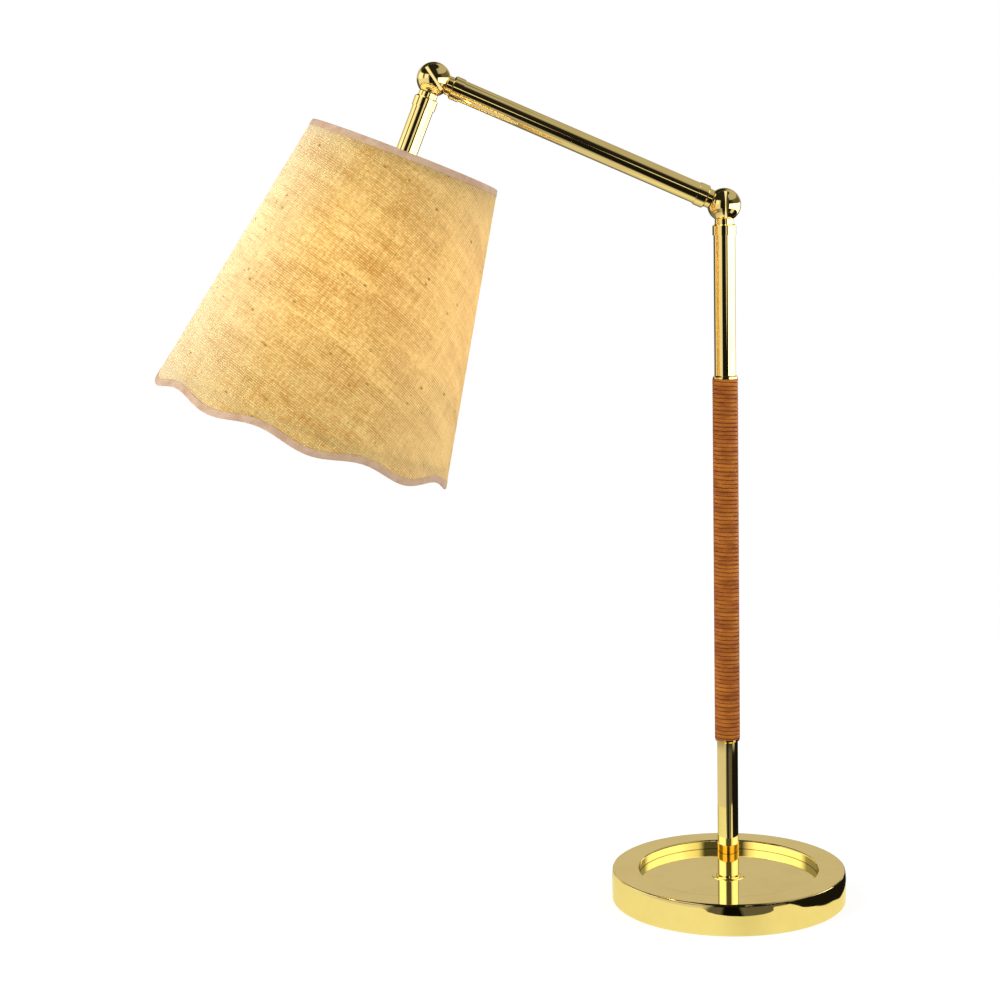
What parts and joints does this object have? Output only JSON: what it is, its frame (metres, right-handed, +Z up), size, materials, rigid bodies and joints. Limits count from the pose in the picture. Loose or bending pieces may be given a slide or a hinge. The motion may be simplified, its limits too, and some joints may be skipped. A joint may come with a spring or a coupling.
{
  "type": "adjustable table lamp",
  "caption": "Table lamp with a dished round base, a leather-wound stem, a hinged arm on ball knuckles and a tilting woven cone shade with a wavy lower edge.",
  "frame": {"origin": "on the table, at the centre of the underside of the base", "axes": "+Z up along the stem; the arm and the shade reach to -X; both pivots turn about lines along Y; the cable inlet is on +Y"},
  "size_m": [0.5123, 0.2294, 0.6396],
  "materials": {
    "polished_brass": "mirror-polished, clear lacquered brass",
    "cast_iron": "rough casting",
    "felt": "pressed felt",
    "black_bush": "moulded, fine texture",
    "zinc_steel": "zinc-plated steel",
    "fibre_washer": "pressed fibre",
    "leather": "tan strip leather, satin",
    "white_sleeve": "smooth sleeve",
    "phenolic": "dark phenolic moulding",
    "porcelain": "glazed",
    "bulb_metal": "rolled thread, satin",
    "bulb_glass": "opal inside coating",
    "raffia": "woven raffia laminated on a stiff liner",
    "tape": "folded bias tape"
  },
  "bodies": {
    "stand": {"base_dish": "polished_brass", "base_weight": "cast_iron", "base_pad": "felt", "cord_bush": "black_bush", "foot_flange": "polished_brass", "stem_nipple": "zinc_steel", "stem_plug": "polished_brass", "stem_washer": "zinc_steel", "stem_nut": "zinc_steel", "stem_tube": "polished_brass", "grip_ring_bottom": "polished_brass", "grip_ring_top": "polished_brass", "grip_wrap": "leather", "stem_collar": "polished_brass", "stem_knuckle": "polished_brass", "lower_friction_washer": "fibre_washer", "lower_spring_washer": "zinc_steel", "stem_lead": "white_sleeve"},
    "arm": {"arm_knuckle_lower": "polished_brass", "lower_pivot_screw": "polished_brass", "arm_collar_lower": "polished_brass", "arm_tube": "polished_brass", "arm_collar_upper": "polished_brass", "arm_knuckle_upper": "polished_brass", "upper_friction_washer": "fibre_washer", "upper_spring_washer": "zinc_steel", "arm_lead": "white_sleeve"},
    "head": {"drop_knuckle": "polished_brass", "upper_pivot_screw": "polished_brass", "drop_collar": "polished_brass", "drop_tube": "polished_brass", "drop_plug": "polished_brass", "drop_nipple": "zinc_steel", "drop_lead": "white_sleeve", "holder_cap": "phenolic", "holder_insert": "porcelain", "holder_body": "phenolic", "holder_ring": "phenolic", "bulb_cap": "bulb_metal", "bulb_glass": "bulb_glass", "shade_spider": "zinc_steel", "shade_top_wire": "zinc_steel", "shade_bottom_wire": "zinc_steel", "shade_cone": "raffia", "shade_top_trim": "tape", "shade_bottom_trim": "tape"}
  },
  "joints": [
    {"name": "arm_hinge", "type": "hinge", "parent": "stand", "child": "arm", "pos_m": [0, 0, 0.532], "axis": [0, 1, 0], "range_deg": [-24, 50]},
    {"name": "shade_hinge", "type": "hinge", "parent": "arm", "child": "head", "pos_m": [-0.21269, 0, 0.62714], "axis": [0, 1, 0], "range_deg": [-20, 90]}
  ]
}
